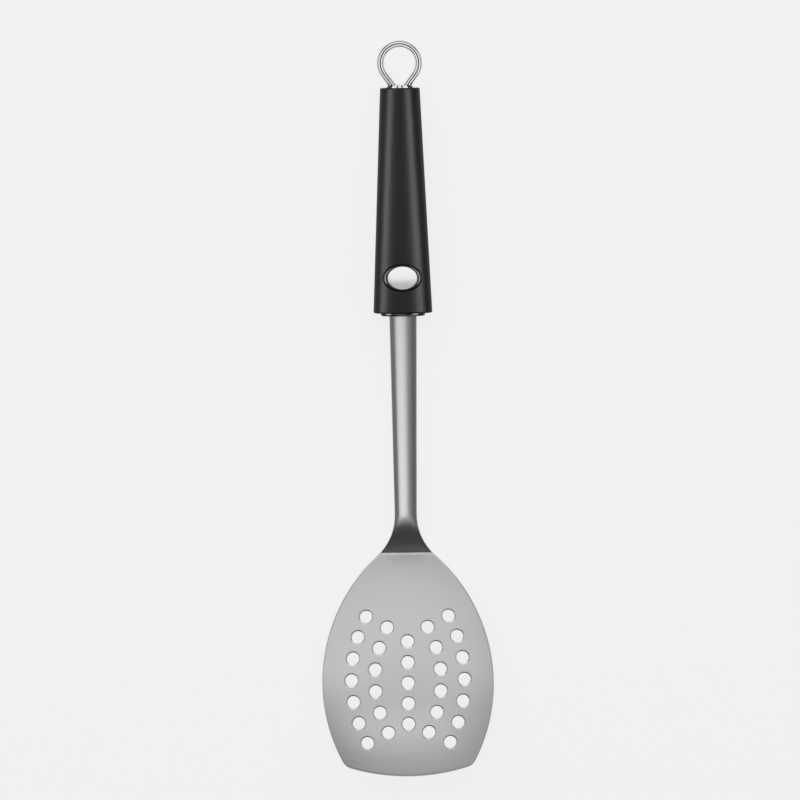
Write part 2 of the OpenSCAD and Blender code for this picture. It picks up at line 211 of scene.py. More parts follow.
class HandleSettings(PropertyGroup):
    """Sizes of the grip, the collar and the end plug."""
    width: size("Width", "Width of the grip at the blade's end", 28.3)
    top_width: size("Top width", "Width of the grip at the loop's end", 19)
    squareness: share("Squareness", "Squareness of the grip at the blade's end", 2.5, 6.0)
    edge_radius: size("Edge radius", "Rounding of the grip at the blade's end", 0.8)
    top_edge_radius: size("Top edge radius", "Rounding of the grip at the loop's end", 0.7)
    wall: size("Wall", "Thickness of the grip over the core", 3.2)
    mouth_edge: size("Mouth edge", "Rounding of the grip's two openings", 0.25)
    pocket_lip: size("Pocket lip", "Rounding of the badge pocket's rim", 0.3)
    collar_edge: size("Collar edge", "Rounding of the collar", 0.8)
    plug_top_diameter: size("Plug top", "Diameter of the plug's top face", 11.8)
    plug_edge: size("Plug edge", "Rounding of the plug's top edge", 0.6)
    spigot_diameter: size("Spigot", "Diameter of the plug's spigot", 9.6)
    gap: size("Gap", "Gap between pieces that fit together", 0.05)


class LoopSettings(PropertyGroup):
    """Sizes of the wire hanging loop."""
    radius: size("Radius", "Radius at the middle of the wire", 9.2)
    rise: size("Rise", "Height of the loop's centre above the plug", 10.45)
    leg_spacing: size("Leg spacing", "Distance between the legs at the plug", 7.4)
    bend_radius: size("Bend radius", "Radius that sets the legs parallel in the plug", 9)


class BadgeSettings(PropertyGroup):
    """Sizes of the oval badge."""
    rim_width: size("Rim width", "Width of the bezel's upper rim", 15.2)
    rim_height: size("Rim height", "Height of the bezel's upper rim", 11.9)
    shoulder: size("Shoulder", "Height of the bezel's upright side", 0.55)
    rim_edge: size("Rim edge", "Rounding of the bezel's rim", 0.12)
    floor: size("Floor", "Thickness of the bezel's floor", 0.5)
    plate_dome: size("Plate dome", "Radius of the plate's dome", 40)
    plate_edge: size("Plate edge", "Rounding of the plate's edge", 0.3)
    gap: size("Gap", "Gap round the bezel and round the plate", 0.1)


class FinishSettings(PropertyGroup):
    """Colours of the finishes."""
    blade: tint("Blade", "Satin blade steel", 0.60)
    shank: tint("Shank", "Satin shank steel", 0.56)
    wire: tint("Wire", "Polished wire", 0.72)
    plate: tint("Plate", "Bright satin plate", 0.95)
    grip: tint("Grip", "Soft black grip", 0.006)
    hard: tint("Hard black", "Glossy black plastic", 0.010)
    pad: tint("Pad", "Adhesive pad", 0.62, 0.03)


class StageSettings(PropertyGroup):
    """Camera, floor and lights."""
    distance: size("Distance", "Camera distance", 2200)
    view_width: size("View width", "Width of the view at the tool", 384.8)
    pitch: lean("Pitch", "Lean of the camera towards the loop", 4.6)
    roll: lean("Roll", "Roll of the camera", 0.8)
    aim: FloatVectorProperty(name="Aim", description="Point at the middle of the view", size=3, subtype="XYZ",
                             unit="LENGTH", default=(-2 * MM, 4 * MM, AXIS_Z))
    floor: tint("Floor", "Pale floor", 0.86)
    floor_glow: share("Floor glow", "Strength of the floor's own glow", 1.17, 4.0)
    backdrop: share("Backdrop", "Strength of what the camera sees past the floor", 1.03, 4.0)
    ambient: share("Ambient", "Strength of the light from all round", 0.055, 4.0)


def circle(count):
    """Unit vectors round one turn."""
    turn = np.linspace(0.0, 2.0 * math.pi, count, endpoint=False)
    return np.stack([np.cos(turn), np.sin(turn)], axis=-1)


def oval(width, height, squareness, count):
    """Superellipse: x and y are half sizes times a signed power 2/squareness of cosine and sine."""
    wave = circle(count)
    power = 2.0 / np.asarray(squareness, float)[..., None, None]
    half = np.stack(np.broadcast_arrays(width, height), axis=-1)[..., None, :] / 2.0
    return half * np.sign(wave) * np.abs(wave) ** power


def raised(points, height):
    """Points seen from above, lifted to their heights."""
    return np.concatenate([points, np.broadcast_to(height, points.shape[:-1])[..., None]], axis=-1)


def arc(centre, radius, start, stop, steps):
    """Points on a circle from one angle to another, without the last one."""
    turn = np.linspace(start, stop, steps, endpoint=False)
    return np.asarray(centre) + radius * np.stack([np.cos(turn), np.sin(turn)], axis=-1)


def both_sides(half):
    """A row of points that ends on the middle line, followed by its mirror image."""
    return np.concatenate([half, half[-2::-1] * [-1.0, 1.0]])


def smooth(part):
    """Smooth step from 0 to 1: three squares less two cubes."""
    return part ** 2 * (3.0 - 2.0 * part)


def quarter(radius, steps):
    """Rounded edge: how far it is drawn in, and how far it has dropped, from the flat to the wall."""
    turn = np.linspace(0.0, math.pi / 2.0, steps + 1)
    return radius * (1.0 - np.sin(turn)), radius * (1.0 - np.cos(turn))


def bevel(width, angle, edge, steps):
    """Bevelled edge: how far it is drawn in, and how far it has dropped, from the flat to the wall.

    The bevel falls by its width times the tangent of its angle. An arc rounds each of its two edges, and a
    tangent of half the turn gives the arc's reach along the flat and down the wall.
    """
    first = np.linspace(0.0, angle, steps + 1)
    second = np.linspace(angle, math.pi / 2.0, steps + 1)
    reach = width + edge * math.tan(angle / 2.0)
    depth = width * math.tan(angle) + edge * math.tan(math.pi / 4.0 - angle / 2.0)
    drawn = np.concatenate([reach - edge * np.sin(first), edge * (1.0 - np.sin(second))])
    return drawn, np.concatenate([edge * (1.0 - np.cos(first)), depth - edge * np.cos(second)])


def held(drawn, drop, support):
    """A rounded edge or bevel with one more row before it, level with its start."""
    return np.concatenate([[drawn[0] + support], drawn]), np.concatenate([[0.0], drop])


def fill(outline, rings, inner):
    """Delaunay triangles between an outline and the rings of its holes, with free points in between.

    The points are numbered outline first, then ring by ring, then the free points. A triangle inside a hole
    has all its corners on one ring, and is dropped.
    """
    loops = [outline, *rings]
    points = np.concatenate([*loops, inner])
    sizes = [len(loop) for loop in loops]
    starts = np.cumsum([0, *sizes[:-1]])
    edges = [start + np.stack([np.arange(count), (np.arange(count) + 1) % count], axis=-1)
             for start, count in zip(starts, sizes)]
    made = delaunay_2d_cdt((points / MM).tolist(), np.concatenate(edges).tolist(), [], INSIDE, NEAR)
    if len(made[0]) != len(points):
        raise RuntimeError("the outline, the rings or the free points cross each other")
    triangles = np.array(made[2])
    owner = np.repeat(np.arange(len(loops) + 1), [*sizes, len(inner)])[triangles]
    inside = (owner[:, 0] == owner[:, 1]) & (owner[:, 1] == owner[:, 2])
    return triangles[~(inside & (owner[:, 0] > 0) & (owner[:, 0] < len(loops)))]


class Shell:
    """The surface of one piece, collected as arrays of points and faces."""

    def __init__(self):
        self.points = []
        self.faces = []
        self.count = 0

    def add(self, points):
        """Adds an array of points and returns their numbers in the same arrangement."""
        points = np.asarray(points, float)
        numbers = self.count + np.arange(points[..., 0].size).reshape(points.shape[:-1])
        self.points.append(points.reshape(-1, 3))
        self.count += numbers.size
        return numbers

    def quads(self, grid, round_rows=False, round_columns=True):
        """Four-sided faces between neighbours of a grid of point numbers, closed round where asked."""
        if round_rows:
            grid = np.concatenate([grid, grid[:1]])
        if round_columns:
            grid = np.concatenate([grid, grid[:, :1]], axis=1)
        corners = [grid[:-1, :-1], grid[:-1, 1:], grid[1:, 1:], grid[1:, :-1]]
        self.faces += np.stack(corners, axis=-1).reshape(-1, 4).tolist()

    def cap(self, ring):
        """One face inside a ring of point numbers."""
        self.faces.append(np.ravel(ring).tolist())

    def loft(self, rows):
        """A closed skin over rows of points, with a face at each end."""
        grid = self.add(rows)
        self.quads(grid)
        self.cap(grid[0])
        self.cap(grid[-1])

    def piece(self, node, finish, sharp=SHARP):
        """Makes the object, turns its faces outwards and lets it stand for a CAD node."""
        name = PREFIX + node
        mesh = bpy.data.meshes.new(name)
        mesh.from_pydata(np.concatenate(self.points).tolist(), [], self.faces)
        work = bmesh.new()
        work.from_mesh(mesh)
        bmesh.ops.recalc_face_normals(work, faces=work.faces)
        work.to_mesh(mesh)
        work.free()
        mesh.shade_smooth()
        mesh.set_sharp_from_angle(angle=sharp)
        mesh.materials.append(finish)
        made = bpy.data.objects.new(name, mesh)
        bpy.context.scene.collection.objects.link(made)
        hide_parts(node)
        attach(made, BODY)


def blade_plan(blade):
    """Centres and radii of the blade's outline, and the ball that it is cut from.

    Each side is one arc, upright at the widest place and ending at the heel. The tip is one arc about the
    middle line. Each corner is tangent to both. The ball's centre is level with the dome's peak, and so low
    that the heel's ends touch the table.
    """
    side_in = (blade.width - blade.heel_width) / 2.0
    side_radius = (side_in ** 2 + blade.widest_at ** 2) / (2.0 * side_in)
    side_centre = np.array([blade.width / 2.0 - side_radius, HEEL_Y - blade.widest_at])
    tip_centre = np.array([0.0, TIP_Y + blade.tip_radius])
    span = np.linalg.norm(tip_centre - side_centre)
    ahead = (tip_centre - side_centre) / span
    side_reach = side_radius - blade.corner_radius
    along = (side_reach ** 2 - (blade.tip_radius - blade.corner_radius) ** 2 + span ** 2) / (2.0 * span)
    across = math.sqrt(side_reach ** 2 - along ** 2)
    corner_centre = side_centre + along * ahead + across * np.array([ahead[1], -ahead[0]])
    inner_radius = blade.dome_radius - blade.thickness
    ball = np.array([0.0, HEEL_Y - blade.dome_peak_at,
                     -math.sqrt(inner_radius ** 2 - blade.dome_peak_at ** 2 - (blade.heel_width / 2.0) ** 2)])
    return SimpleNamespace(side_radius=side_radius, side_centre=side_centre, tip_centre=tip_centre,
                           corner_centre=corner_centre, ball=ball, outer_radius=blade.dome_radius,
                           inner_radius=inner_radius)


def blade_outline(blade, plan, inset):
    """The blade's outline from one end of the heel round the tip to the other, drawn in by a distance."""
    side_radius = plan.side_radius - inset
    from_side = plan.corner_centre - plan.side_centre
    from_tip = plan.corner_centre - plan.tip_centre
    corner_turn = math.atan2(from_side[1], from_side[0])
    tip_turn = math.atan2(from_tip[1], from_tip[0])
    heel_turn = math.asin((HEEL_Y - plan.side_centre[1]) / side_radius)
    half = np.concatenate([
        arc(plan.side_centre, side_radius, heel_turn, corner_turn, SIDE_STEPS),
        arc(plan.corner_centre, blade.corner_radius - inset, corner_turn, tip_turn, CORNER_STEPS),
        arc(plan.tip_centre, blade.tip_radius - inset, tip_turn, -math.pi / 2.0, TIP_STEPS),
        plan.tip_centre[None] - [[0.0, blade.tip_radius - inset]]])
    return both_sides(half)


def tip_share():
    """Share of the tip's bevel at each point of the outline: none at the sides, growing round the corners."""
    corner = smooth(np.linspace(0.0, 1.0, CORNER_STEPS))
    half = np.concatenate([np.zeros(SIDE_STEPS), corner, np.ones(TIP_STEPS + 1)])
    return np.concatenate([half, half[-2::-1]])


def on_ball(plan, plan_points, radius):
    """Height of a ball of the given radius over points seen from above."""
    away = plan_points - plan.ball[:2]
    return plan.ball[2] + np.sqrt(radius ** 2 - (away ** 2).sum(axis=-1))


def weld(y, rise, width):
    """Height that the smoothed weld adds at the heel: it falls to nothing with the square of the distance."""
    return rise * np.clip(1.0 - np.abs(y - HEEL_Y) / width, 0.0, 1.0) ** 2


def hole_places(blade, plan):
    """Centres of the drain holes: arcs of even pitch beside the edge, and one straight middle column."""
    middle_y = plan.side_centre[1] + blade.columns_back
    places = []
    columns = ((blade.outer_column_in, blade.outer_holes), (blade.inner_column_in, blade.inner_holes))
    for inset, count in columns:
        radius = plan.side_radius - inset
        turn = (np.arange(count) - (count - 1) / 2.0) * blade.column_pitch / radius
        x = plan.side_centre[0] + radius * np.cos(turn)
        right = np.stack([x, middle_y + radius * np.sin(turn)], axis=-1)
        places += [right, right * [-1.0, 1.0]]
    step = (np.arange(blade.middle_holes) - (blade.middle_holes - 1) / 2.0) * blade.middle_pitch
    places.append(np.stack([0.0 * step, middle_y - blade.middle_ahead + step], axis=-1))
    return np.concatenate(places)


def hole_rings(plan, places, reach, drop):
    """Rings round every hole's own axis, which points from the ball's centre to the hole.

    A ring lies at an angle of reach over the ball's radius from the axis, at the ball's radius less the drop.
    The result has one row for each reach, then the holes, then the points round a ring.
    """
    axis = (raised(places, on_ball(plan, places, plan.outer_radius)) - plan.ball) / plan.outer_radius
    first = np.cross(axis, [0.0, 0.0, 1.0]) + [NUDGE, 0.0, 0.0]
    first /= np.linalg.norm(first, axis=-1, keepdims=True)
    spoke = circle(HOLE_TURN) @ np.stack([first, np.cross(axis, first)], axis=1)
    angle = (reach / plan.outer_radius)[:, None, None, None]
    facing = np.cos(angle) * axis[:, None] + np.sin(angle) * spoke
    return plan.ball + (plan.outer_radius - drop)[:, None, None, None] * facing


def free_points(blade, plan, places, edge_in, hole_reach):
    """Free points of the blade's faces: a net of triangles clear of edges and holes, and the weld's rows."""
    rows, columns = np.mgrid[0:NET_ROWS, -NET_COLUMNS:NET_COLUMNS + 1]
    net = np.stack([(columns + 0.5 * (rows % 2)) * NET_PITCH, TIP_Y + rows * NET_PITCH * NET_RISE], axis=-1)
    net = net.reshape(-1, 2)
    right_half = np.stack([np.abs(net[:, 0]), net[:, 1]], axis=-1)
    from_side = plan.side_radius - np.linalg.norm(right_half - plan.side_centre, axis=-1)
    from_tip = blade.tip_radius - np.linalg.norm(net - plan.tip_centre, axis=-1)
    from_edge = np.minimum(np.minimum(from_side, from_tip), HEEL_Y - net[:, 1]) - edge_in
    from_hole = np.linalg.norm(net[:, None] - places, axis=-1).min(axis=1) - hole_reach
    across = np.linspace(-1.0, 1.0, WELD_POINTS) * (blade.heel_width / 2.0 - edge_in)
    welded = np.stack(np.broadcast_arrays(across, HEEL_Y - blade.weld_width * WELD_ROWS[:, None]), axis=-1)
    return np.concatenate([net[(from_edge > NET_ROOM) & (from_hole > NET_ROOM)], welded.reshape(-1, 2)])


def make_blade(blade, finish):
    """The sheet: a triangulated upper and lower face joined by strips at the edge and in every hole.

    The edge is rounded, and turns into a ground bevel along the tip. Each hole has a bevel on the upper face
    and a rounded rim on the lower one.
    """
    plan = blade_plan(blade)
    places = hole_places(blade, plan)
    shell = Shell()

    def upper_face(points):
        """Height of the upper face: the outer ball, and the weld on it."""
        welded = weld(points[..., 1], blade.weld_rise, blade.weld_width)
        return on_ball(plan, points, plan.outer_radius) + welded

    def lower_face(points):
        """Height of the lower face: the inner ball."""
        return on_ball(plan, points, plan.inner_radius)

    round_in, round_drop = held(*quarter(blade.edge_radius, EDGE_ROUND), BLADE_SUPPORT)
    ground = bevel(blade.tip_bevel, blade.tip_angle, blade.bevel_edge, BEVEL_ROUND)
    ground_in, ground_drop = held(*ground, BLADE_SUPPORT)
    ground_share = tip_share()
    sides = np.stack([blade_outline(blade, plan, inset) for inset in round_in])
    tip = np.stack([blade_outline(blade, plan, inset) for inset in ground_in])
    rim = sides + (tip - sides) * ground_share[:, None]
    rim_top = upper_face(rim) - round_drop[:, None] - (ground_drop - round_drop)[:, None] * ground_share
    rim_low = lower_face(sides) + round_drop[:, None]

    hole_edge = bevel(blade.hole_bevel, blade.hole_angle, blade.bevel_edge, BEVEL_ROUND)
    bevel_in, bevel_drop = held(*hole_edge, BLADE_SUPPORT)
    lip_in, lip_drop = held(*quarter(blade.hole_lip, LIP_ROUND), BLADE_SUPPORT)
    hole_radius = blade.hole_diameter / 2.0
    lip_top = hole_rings(plan, places, hole_radius + bevel_in, bevel_drop)
    lip_low = hole_rings(plan, places, hole_radius + lip_in, blade.thickness - lip_drop)
    free = free_points(blade, plan, places, ground_in[0], hole_radius + bevel_in[0])

    faces = []
    for ring, lips, height in ((rim[0], lip_top, upper_face), (sides[0], lip_low, lower_face)):
        heel = np.linspace(ring[-1, 0], ring[0, 0], HEEL_STEPS + 1)[1:-1]
        border = np.concatenate([ring, np.stack([heel, np.full_like(heel, HEEL_Y)], axis=-1)])
        holes = lips[0, ..., :2]
        flat = np.concatenate([border, holes.reshape(-1, 2), free])
        numbers = shell.add(raised(flat, height(flat)))
        shell.faces += numbers[fill(border, holes, free)].tolist()
        edge, heel, holed = np.split(numbers[:len(flat) - len(free)], [len(ring), len(border)])
        faces.append((edge, heel, holed.reshape(holes.shape[:2])))

    (top_edge, top_heel, top_holes), (low_edge, low_heel, low_holes) = faces
    upper = shell.add(raised(rim[1:], rim_top[1:]))
    lower = shell.add(raised(sides[:0:-1], rim_low[:0:-1]))
    strip = np.concatenate([top_edge[None], upper, lower, low_edge[None]])
    shell.quads(strip, round_columns=False)
    shell.cap(strip[:, 0])
    shell.cap(strip[:, -1])
    shell.quads(np.stack([np.concatenate([strip[:1, -1], top_heel, strip[:1, 0]]),
                          np.concatenate([strip[-1:, -1], low_heel, strip[-1:, 0]])]), round_columns=False)
    upper = shell.add(lip_top[1:])
    lower = shell.add(lip_low[:0:-1])
    bores = np.concatenate([top_holes[None], upper, lower, low_holes[None]])
    for hole in range(len(places)):
        shell.quads(bores[:, hole])
    shell.piece("blade", finish)


def make_shank(shank, blade, finish):
    """A bar lofted along the tool, which flares into a flat palm bowed like the dome, and its tang.

    Near the heel the width grows with a power of the distance, the middle drops with its square, and the
    thickness and squareness change by a smooth step.
    """
    plan = blade_plan(blade)
    heel_ring = math.sqrt(plan.outer_radius ** 2 - blade.dome_peak_at ** 2)
    heel_top = plan.ball[2] + heel_ring
    heel_low = plan.ball[2] + math.sqrt(plan.inner_radius ** 2 - blade.dome_peak_at ** 2)
    narrow_y = HEEL_Y + shank.neck_length
    weld_end = HEEL_Y + shank.weld_width
    y = np.concatenate([np.linspace(HEEL_Y, weld_end, WELD_STEPS, endpoint=False),
                        np.linspace(weld_end, narrow_y, NECK_STEPS, endpoint=False),
                        np.linspace(narrow_y, COLLAR_LOW.y, BAR_STEPS, endpoint=False),
                        np.linspace(COLLAR_LOW.y, CORE_LOW.y, INSIDE_ROWS)])
    near = np.clip((narrow_y - y) / shank.neck_length, 0.0, 1.0)
    along = np.clip((y - narrow_y) / (COLLAR_LOW.y - narrow_y), 0.0, 1.0)
    flat = smooth(near)
    bar_width = shank.narrow_width + (shank.width - shank.narrow_width) * along
    bar_thickness = shank.narrow_thickness + (shank.thickness - shank.narrow_thickness) * along
    width = bar_width + (blade.heel_width - bar_width) * near ** shank.flare_power
    thick = bar_thickness + (heel_top - heel_low - bar_thickness) * flat
    middle = AXIS_Z + ((heel_top + heel_low) / 2.0 - AXIS_Z) * near ** 2
    square = shank.squareness + (shank.palm_squareness - shank.squareness) * flat
    section = oval(width, thick, square, SHANK_TURN)
    bow = heel_ring - np.sqrt(heel_ring ** 2 - section[..., 0] ** 2)
    upper = np.clip(2.0 * section[..., 1] / thick[:, None], 0.0, 1.0)
    height = middle[:, None] + section[..., 1] - flat[:, None] * bow
    height = height + upper * weld(y, blade.weld_rise, shank.weld_width)[:, None]
    shell = Shell()
    shell.loft(stations(section[..., 0], y, height))
    add_tang(shell, shank)
    shell.piece("shank", finish)


def add_tang(shell, shank):
    """The flat tang: two triangulated faces with locking holes, joined by rounded edges and by the holes."""
    half_width, half_thickness = shank.tang_width / 2.0, shank.tang_thickness / 2.0
    drawn, drop = quarter(shank.tang_edge, TANG_ROUND)
    lock_y = np.linspace(CORE_LOW.y, SHANK_END, shank.lock_holes + 2)[1:-1]
    locks = np.stack([0.0 * lock_y, lock_y], axis=-1)[:, None] + shank.lock_diameter / 2.0 * circle(LOCK_TURN)
    corner = np.array([[1, 0], [1, 1], [-1, 1], [-1, 0]])
    end_y = np.where(corner[:, 1] > 0, SHANK_END, CORE_LOW.y - TANG_OVERLAP)
    ends = np.stack([corner[:, 0] * half_width, end_y], axis=-1)
    edges = ends - drawn[:, None, None] * np.stack([corner[:, 0], 2 * corner[:, 1] - 1], axis=-1)
    levels = []
    for side in (1.0, -1.0):
        flat = np.concatenate([edges[0], locks.reshape(-1, 2)])
        numbers = shell.add(raised(flat, AXIS_Z + side * half_thickness))
        shell.faces += numbers[fill(edges[0], locks, np.empty((0, 2)))].tolist()
        strips = shell.add(raised(edges[1:], AXIS_Z + side * (half_thickness - drop[1:, None])))
        levels.append((numbers[:len(ends)], strips, numbers[len(ends):].reshape(locks.shape[:2])))
    (top, top_strip, top_locks), (low, low_strip, low_locks) = levels
    shell.quads(np.concatenate([top[None], top_strip, low_strip[::-1], low[None]]))
    for lock in range(shank.lock_holes):
        shell.quads(np.stack([top_locks[lock], low_locks[lock]]))


def grip_width(handle, y):
    """Width of the grip at a height along the tool: a straight taper."""
    part = (y - GRIP_LOW.y) / (GRIP_HIGH.y - GRIP_LOW.y)
    return handle.width + (handle.top_width - handle.width) * part


def grip_square(handle, y):
    """Squareness of the grip's section, which turns into an ellipse at the loop's end."""
    part = (y - GRIP_LOW.y) / (GRIP_HIGH.y - GRIP_LOW.y)
    return handle.squareness + (ELLIPSE - handle.squareness) * part


def grip_front(handle, points):
    """Height of the grip's front over points seen from above, from the superellipse of its section."""
    square = grip_square(handle, points[..., 1])
    across = np.abs(points[..., 0]) / (grip_width(handle, points[..., 1]) / 2.0)
    return AXIS_Z + GRIP_DEPTH / 2.0 * np.clip(1.0 - across ** square, 0.0, 1.0) ** (1.0 / square)


def stations(across, y, height):
    """Points of rows across the tool, one row for each station along it."""
    return np.stack([across, np.broadcast_to(y[:, None], across.shape), height], axis=-1)


def across_tool(width, depth, square, y, count):
    """Rows of ovals across the tool, one for each station."""
    section = oval(width, depth, square, count)
    return stations(section[..., 0], y, AXIS_Z + section[..., 1])


def grip_rows(handle, y, inset, placed_y):
    """Rows of the grip's own section at some heights, made smaller by an inset and placed at others."""
    width, depth = grip_width(handle, y) - inset, GRIP_DEPTH - inset
    return across_tool(width, depth, grip_square(handle, y), placed_y, GRIP_TURN)


def make_grip(handle, badge, finish):
    """A tapered sleeve: rows of ovals up the outside, in at the plug, down the hollow and out at the collar.

    The patch round the badge is triangulated, and its rim is carried down into the pocket.
    """
    low_in, low_rise = held(*quarter(handle.edge_radius, LOW_ROUND), GRIP_SUPPORT)
    top_in, top_drop = held(*quarter(handle.top_edge_radius, TOP_ROUND), GRIP_SUPPORT)
    low_y, top_y = GRIP_LOW.y + low_rise, (GRIP_HIGH.y - top_drop)[::-1]
    side_y = np.linspace(low_y[-1], top_y[0], GRIP_ROWS)[1:-1]
    side_y = np.concatenate([[low_y[-1] + GRIP_SUPPORT], side_y, [top_y[0] - GRIP_SUPPORT]])
    outer_y = np.concatenate([low_y, side_y, top_y])
    drawn = 2.0 * np.concatenate([low_in, 0.0 * side_y, top_in[::-1]])
    outer = grip_rows(handle, outer_y, drawn, outer_y)

    mouth_in, mouth_drop = held(*quarter(handle.mouth_edge, MOUTH_ROUND), GRIP_SUPPORT)
    grown = 2.0 * np.append(mouth_in, 0.0) + 2.0 * handle.gap
    plug = 2.0 * PLUG_HIGH.x + grown
    plug_y = np.append(GRIP_HIGH.y - mouth_drop, CORE_HIGH.y + handle.gap)
    down = across_tool(plug, plug, ELLIPSE, plug_y, GRIP_TURN)
    hollow_y = np.linspace(CORE_HIGH.y, CORE_LOW.y, HOLLOW_ROWS)
    placed_y = hollow_y + handle.gap * np.linspace(1.0, -1.0, HOLLOW_ROWS)
    hollow = grip_rows(handle, hollow_y, 2.0 * (handle.wall - handle.gap), placed_y)
    collar_y = np.append(GRIP_LOW.y + mouth_drop, CORE_LOW.y - handle.gap)
    out = across_tool(COLLAR_WIDTH + grown, COLLAR_DEPTH + grown, ELLIPSE, collar_y, GRIP_TURN)[::-1]

    pocket = np.array([BEZEL_WIDTH, BEZEL_HEIGHT]) / 2.0 + badge.gap
    first = int(np.searchsorted(outer_y, BADGE_Y - pocket[1] - PATCH_ROOM)) - 1
    last = int(np.searchsorted(outer_y, BADGE_Y + pocket[1] + PATCH_ROOM))
    left = int(GRIP_TURN * PATCH_SIDE)
    right = GRIP_TURN // 2 - left
    shell = Shell()
    ring = shell.add(np.concatenate([outer[last:], down, hollow, out, outer[:first + 1]]))
    shell.quads(ring)
    around = np.r_[right:GRIP_TURN, 0:left + 1]
    sides = shell.add(outer[first + 1:last, around])
    shell.quads(np.concatenate([ring[-1:, around], sides, ring[:1, around]]), round_columns=False)

    grow, drop = held(*quarter(handle.pocket_lip, POCKET_ROUND), GRIP_SUPPORT)
    rim = oval(2.0 * (pocket[0] + grow), 2.0 * (pocket[1] + grow), ELLIPSE, POCKET_TURN) + [0.0, BADGE_Y]
    free = outer[first + 1:last, left + 1:right, :2].reshape(-1, 2)
    away = np.linalg.norm((free - [0.0, BADGE_Y]) / (pocket + grow[0] + POCKET_ROOM), axis=-1)
    free = free[away > 1.0]
    border = np.concatenate([ring[-1, left:right + 1], sides[:, 0],
                             ring[0, right:left - 1:-1], sides[::-1, -1]])
    corners = np.concatenate(shell.points)[border][:, :2]
    rims = shell.add(raised(rim, grip_front(handle, rim) - drop[:, None]))
    inner = shell.add(raised(free, grip_front(handle, free)))
    numbers = np.concatenate([border, rims[0], inner])
    shell.faces += numbers[fill(corners, [rim[0]], free)].tolist()
    floor = shell.add(raised(rim[-1], BEZEL_LOW.z - POCKET_GAP))
    shell.quads(np.concatenate([rims, floor[None]]))
    shell.cap(floor)
    shell.piece("grip", finish)


def make_collar(handle, shank, finish):
    """A ring of ovals with a rounded outer edge, bored for the shank's bar."""
    drawn, rise = held(*quarter(handle.collar_edge, COLLAR_ROUND), COLLAR_SUPPORT)
    inset = 2.0 * np.append(drawn, 0.0)
    y = np.append(COLLAR_LOW.y + rise, COLLAR_HIGH.y)
    outside = across_tool(COLLAR_WIDTH - inset, COLLAR_DEPTH - inset, ELLIPSE, y, COLLAR_TURN)
    bore_y = np.array([COLLAR_HIGH.y, COLLAR_LOW.y + BORE_DEPTH, COLLAR_LOW.y])
    grown = 2.0 * handle.gap + np.array([0.0, 0.0, BORE_CHAMFER])
    bore = across_tool(shank.width + grown, shank.thickness + grown, shank.squareness, bore_y, COLLAR_TURN)
    shell = Shell()
    shell.quads(shell.add(np.concatenate([outside, bore])), round_rows=True)
    shell.piece("collar", finish)


def make_end_plug(handle, finish):
    """A turned plug: a spigot, a flange in the grip's mouth and a short taper with a rounded top edge."""
    spigot, flange, top = handle.spigot_diameter / 2.0, PLUG_HIGH.x, handle.plug_top_diameter / 2.0
    drawn, drop = quarter(handle.plug_edge, PLUG_ROUND)
    shoulder = CORE_HIGH.y + handle.gap
    radius = np.concatenate([[spigot, spigot, flange, flange], (top - drawn)[::-1],
                             (top - handle.plug_edge) * PLUG_RINGS])
    y = np.concatenate([[PLUG_LOW.y, shoulder, shoulder, GRIP_HIGH.y], (PLUG_HIGH.y - drop)[::-1],
                        np.full_like(PLUG_RINGS, PLUG_HIGH.y)])
    shell = Shell()
    shell.loft(across_tool(2.0 * radius, 2.0 * radius, ELLIPSE, y, PLUG_TURN))
    shell.piece("end_plug", finish)


def loop_path(loop):
    """The wire's middle line, of two like halves.

    Each goes up the end in the plug, round the bend, along the leg and over the ring. The leg is tangent to
    the ring and leans in to its place in the plug.
    """
    leg = loop.leg_spacing / 2.0
    slant = math.acos(leg / math.hypot(leg, loop.rise)) - math.acos(loop.radius / math.hypot(leg, loop.rise))
    tail_x = leg - loop.bend_radius * (1.0 - math.cos(slant))
    tail_y = PLUG_HIGH.y - loop.bend_radius * math.sin(slant)
    centre = np.array([0.0, PLUG_HIGH.y + loop.rise])
    tangent = centre + loop.radius * np.array([math.cos(slant), -math.sin(slant)])
    return both_sides(np.concatenate([
        np.linspace([tail_x, LOOP_LOW.y], [tail_x, tail_y], TAIL_STEPS, endpoint=False),
        arc([tail_x + loop.bend_radius, tail_y], loop.bend_radius, math.pi, math.pi - slant, BEND_STEPS),
        np.linspace([leg, PLUG_HIGH.y], tangent, LEG_STEPS, endpoint=False),
        arc(centre, loop.radius, -slant, math.pi / 2.0, RING_STEPS),
        [centre + [0.0, loop.radius]]]))


def make_hanging_loop(loop, finish):
    """A round tube along the wire's path: circles square to it, level with the tool's axis."""
    path = loop_path(loop)
    run = np.gradient(path, axis=0)
    run /= np.linalg.norm(run, axis=-1, keepdims=True)
    side = np.stack([run[:, 1], -run[:, 0]], axis=-1)
    ring = (LOOP_HIGH.z - LOOP_LOW.z) / 2.0 * circle(WIRE_TURN)
    shell = Shell()
    shell.loft(raised(path[:, None] + ring[:, :1] * side[:, None], AXIS_Z + ring[:, 1]))
    shell.piece("hanging_loop", finish)


def flat_ovals(width, height, level):
    """Rows of level ovals about the badge's middle, one for each level."""
    return raised(oval(width, height, ELLIPSE, BADGE_TURN) + [0.0, BADGE_Y], level[:, None])


